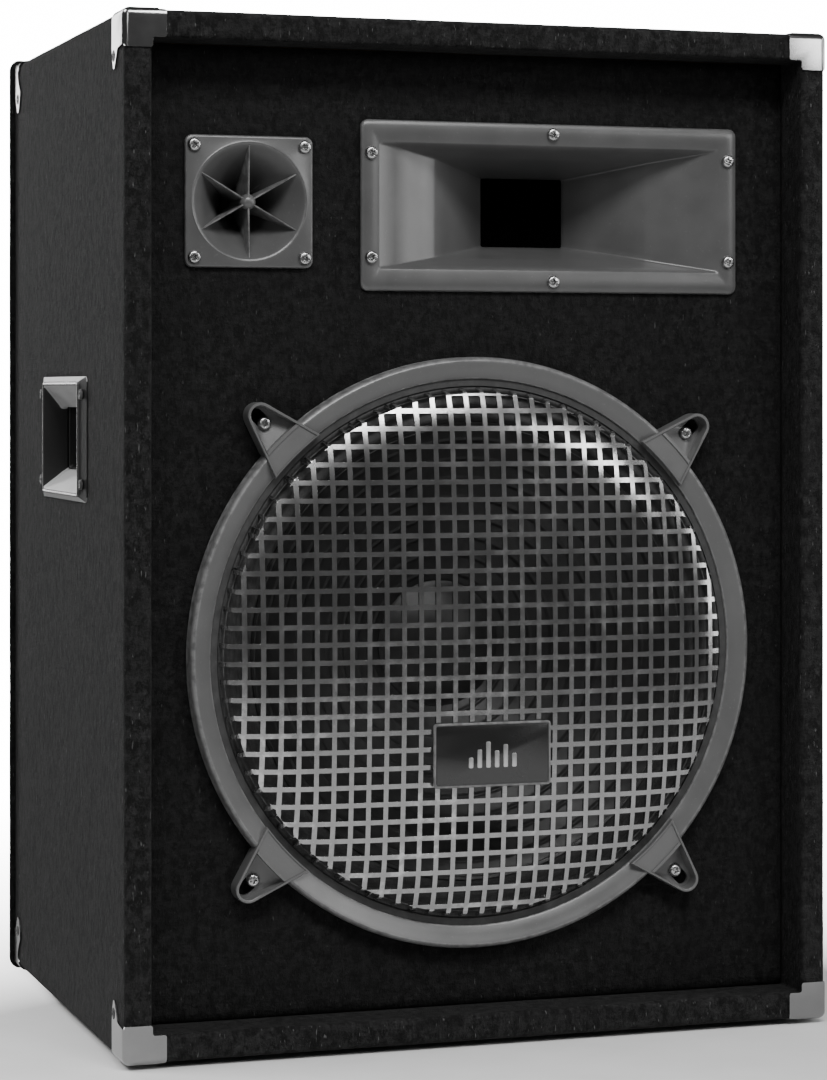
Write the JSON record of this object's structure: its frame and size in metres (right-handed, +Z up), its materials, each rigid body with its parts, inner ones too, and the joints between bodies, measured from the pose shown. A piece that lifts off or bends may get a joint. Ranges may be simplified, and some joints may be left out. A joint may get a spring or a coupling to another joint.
{
  "type": "pa speaker cabinet",
  "caption": "Carpet-covered floor PA loudspeaker with a grilled woofer, a mid horn, a finned tweeter, side handles and metal corners.",
  "frame": {"origin": "bottom centre of the whole cabinet, where its feet stand on the floor", "axes": "+X to the right seen from the front, -Y out of the front, +Z up"},
  "size_m": [0.493, 0.3778, 0.6714],
  "materials": {
    "carpet": "short grey-black needled felt carpet",
    "board": "raw particle board and plywood",
    "corner_metal": "satin grey pressed steel corner",
    "screw_black": "black zinc screw",
    "screw_bright": "bright zinc screw",
    "handle_plastic": "fine-textured moulded plastic",
    "horn_plastic": "satin moulded plastic horn",
    "grille_plastic": "satin dark grey coated lattice",
    "badge_face": "black badge with a pale raised edge",
    "basket": "black pressed steel frame",
    "magnet_steel": "zinc-plated steel",
    "ferrite": "dark ferrite ring",
    "cone_paper": "ribbed black paper cone",
    "surround_cloth": "doped pleated cloth",
    "spider_cloth": "phenolic-dipped corrugated cloth",
    "former_foil": "aluminium coil former",
    "copper_coil": "enamelled copper winding",
    "gasket_board": "black fibre gasket",
    "black_plastic": "black moulded plastic",
    "red_plastic": "red knurled cap",
    "black_cap": "black knurled cap",
    "nickel": "nickel-plated contact",
    "rubber": "black rubber",
    "circuit_board": "green circuit board",
    "film_capacitor": "yellow film capacitor",
    "resistor_ceramic": "white ceramic resistor",
    "wire_jacket": "black jacketed lead",
    "socket_steel": "black painted steel socket"
  },
  "bodies": {
    "cabinet": {"panel_left": "board", "panel_right": "board", "panel_top": "board", "panel_bottom": "board", "back_panel": "board", "front_baffle": "board", "baffle_cleats": "board", "back_cleats": "board", "cross_brace": "board", "carpet_wrap": "carpet", "baffle_carpet": "carpet", "corner_screws": "screw_bright", "handle_screws": "screw_black", "back_screws": "screw_black", "foot_screws": "screw_bright", "pole_socket_screws": "screw_black", "baffle_screws": "screw_bright", "handle_left": "handle_plastic", "handle_right": "handle_plastic", "feet": "rubber", "pole_socket": "socket_steel", "woofer_basket": "basket", "woofer_gasket": "gasket_board", "woofer_surround": "surround_cloth", "spider": "spider_cloth", "top_plate": "magnet_steel", "magnet": "ferrite", "yoke": "magnet_steel", "woofer_terminals": "nickel", "grille_ring": "grille_plastic", "grille_mesh": "grille_plastic", "grille_clamps": "grille_plastic", "badge": "badge_face", "mid_horn": "horn_plastic", "mid_driver": "black_plastic", "tweeter_horn": "horn_plastic", "tweeter_housing": "black_plastic", "terminal_dish": "black_plastic", "jack_sockets": "nickel", "post_bases": "nickel", "crossover_board": "circuit_board", "crossover_spacers": "nickel", "crossover_coils": "copper_coil", "crossover_capacitors": "film_capacitor", "crossover_resistor": "resistor_ceramic", "wiring": "wire_jacket", "corner_front_bottom_left": "corner_metal", "corner_front_bottom_right": "corner_metal", "corner_front_top_left": "corner_metal", "corner_front_top_right": "corner_metal", "corner_rear_bottom_left": "corner_metal", "corner_rear_bottom_right": "corner_metal", "corner_rear_top_left": "corner_metal", "corner_rear_top_right": "corner_metal"},
    "cone": {"woofer_cone": "cone_paper", "dust_cap": "cone_paper", "coil_former": "former_foil", "voice_coil": "copper_coil"},
    "red_cap": {"post_cap_red": "red_plastic"},
    "black_cap": {"post_cap_black": "black_cap"}
  },
  "joints": [
    {"name": "cone_travel", "type": "slide", "parent": "cabinet", "child": "cone", "axis": [0, -1, 0], "range_m": [-0.006, 0.006], "stiffness_N_per_m": 4800, "deforming": ["woofer_surround", "spider"]},
    {"name": "red_cap_turn", "type": "hinge", "parent": "cabinet", "child": "red_cap", "pos_m": [0.019, 0.1669, 0.314], "axis": [0, 1, 0], "continuous": true},
    {"name": "black_cap_turn", "type": "hinge", "parent": "cabinet", "child": "black_cap", "pos_m": [-0.019, 0.1669, 0.314], "axis": [0, 1, 0], "continuous": true}
  ]
}
